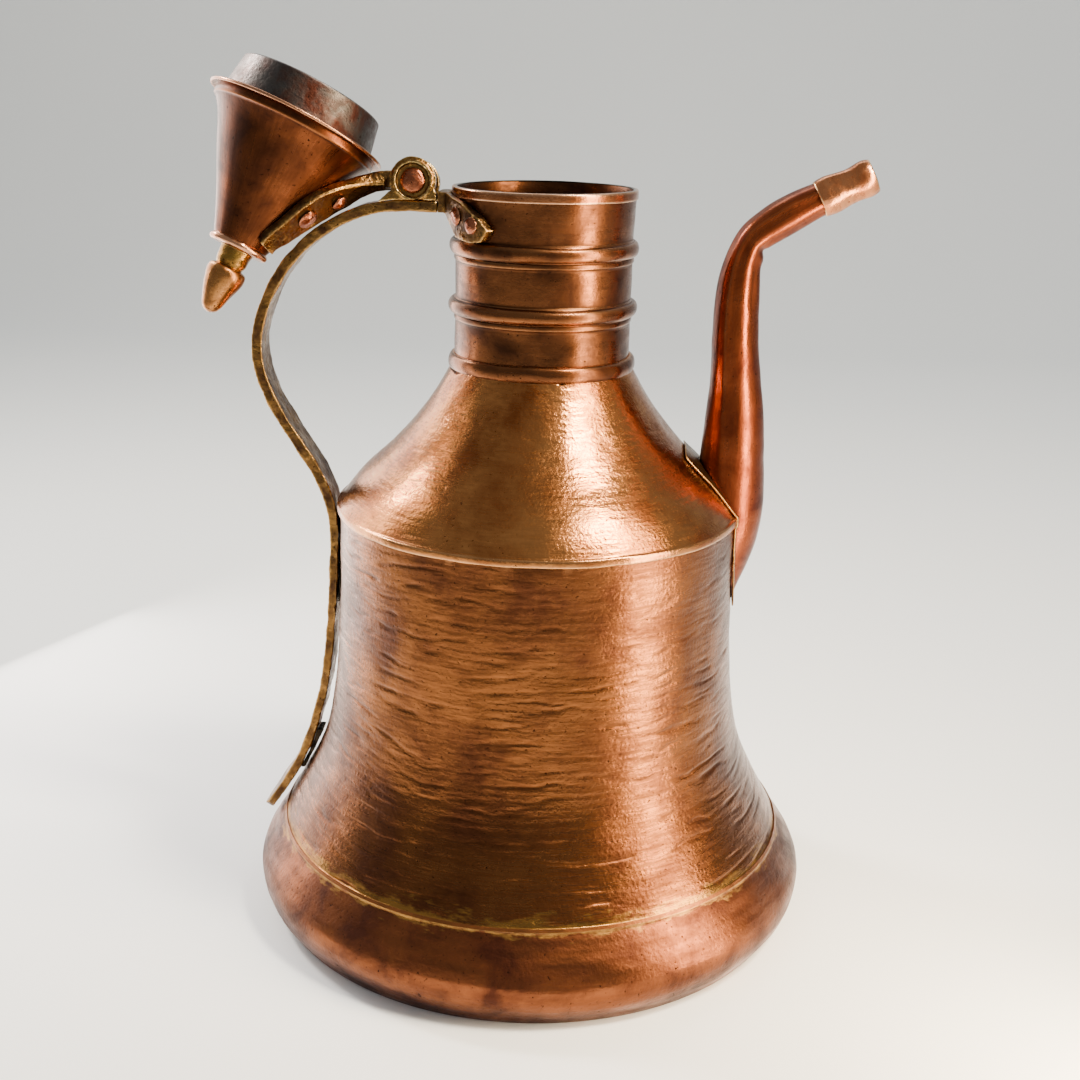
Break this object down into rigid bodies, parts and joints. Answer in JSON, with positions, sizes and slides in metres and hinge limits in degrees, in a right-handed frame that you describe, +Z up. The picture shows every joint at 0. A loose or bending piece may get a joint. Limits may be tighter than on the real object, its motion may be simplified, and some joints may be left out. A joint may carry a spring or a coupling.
{
  "type": "ewer",
  "caption": "Raised copper ewer with a flared base, ringed neck, upright bent spout, strap handle and a hinged funnel-shaped lid with an acorn finial.",
  "frame": {"origin": "centre of the foot, on the surface the ewer stands on", "axes": "+Z up the vessel's axis; -X towards the handle; +X towards the spout; the lid is stored open, lying back over the handle"},
  "size_m": [0.3101, 0.2802, 0.4139],
  "materials": {
    "hammered_copper": "hand-raised copper, planished in fine rows, warm brown patina",
    "base_copper": "copper, dark purple-brown patina, mottled",
    "neck_copper": "smooth wrought copper, greenish-brown patina, bright rims",
    "spout_copper": "seamed copper sheet, dark red-brown patina",
    "bright_copper": "rubbed bright copper",
    "lid_copper": "spun copper sheet, brown patina",
    "tinned_copper": "hot-tinned copper, grey and mottled",
    "handle_brass": "forged and filed brass, olive patina with worn golden edges",
    "brass_braze": "brazing brass",
    "solder": "blackened soft solder",
    "rivet_copper": "hand-set copper rivets"
  },
  "bodies": {
    "ewer": {"base_pan": "base_copper", "base_seam_braze": "brass_braze", "body_shell": "hammered_copper", "shoulder_cone": "hammered_copper", "neck_tube": "neck_copper", "rim_hem": "neck_copper", "neck_collar": "neck_copper", "spout_tube": "spout_copper", "spout_tip_collar": "bright_copper", "spout_saddle": "spout_copper", "handle_strap": "handle_brass", "handle_solder_upper": "solder", "handle_solder_lower": "solder", "neck_yoke": "handle_brass", "yoke_rivets": "rivet_copper", "hinge_cheek_front": "handle_brass", "hinge_cheek_rear": "handle_brass", "hinge_pin": "rivet_copper"},
    "lid": {"lid_flange": "lid_copper", "lid_skirt": "tinned_copper", "lid_cone": "lid_copper", "lid_tip_cap": "lid_copper", "finial_neck": "handle_brass", "finial_acorn": "bright_copper", "finial_tang": "brass_braze", "lid_strap": "handle_brass", "lid_rivets": "rivet_copper"}
  },
  "joints": [
    {"name": "lid_hinge", "type": "hinge", "parent": "ewer", "child": "lid", "pos_m": [-0.0605, 0, 0.3586], "axis": [0, 0.9903, -0.1392], "range_deg": [0, 156]}
  ]
}
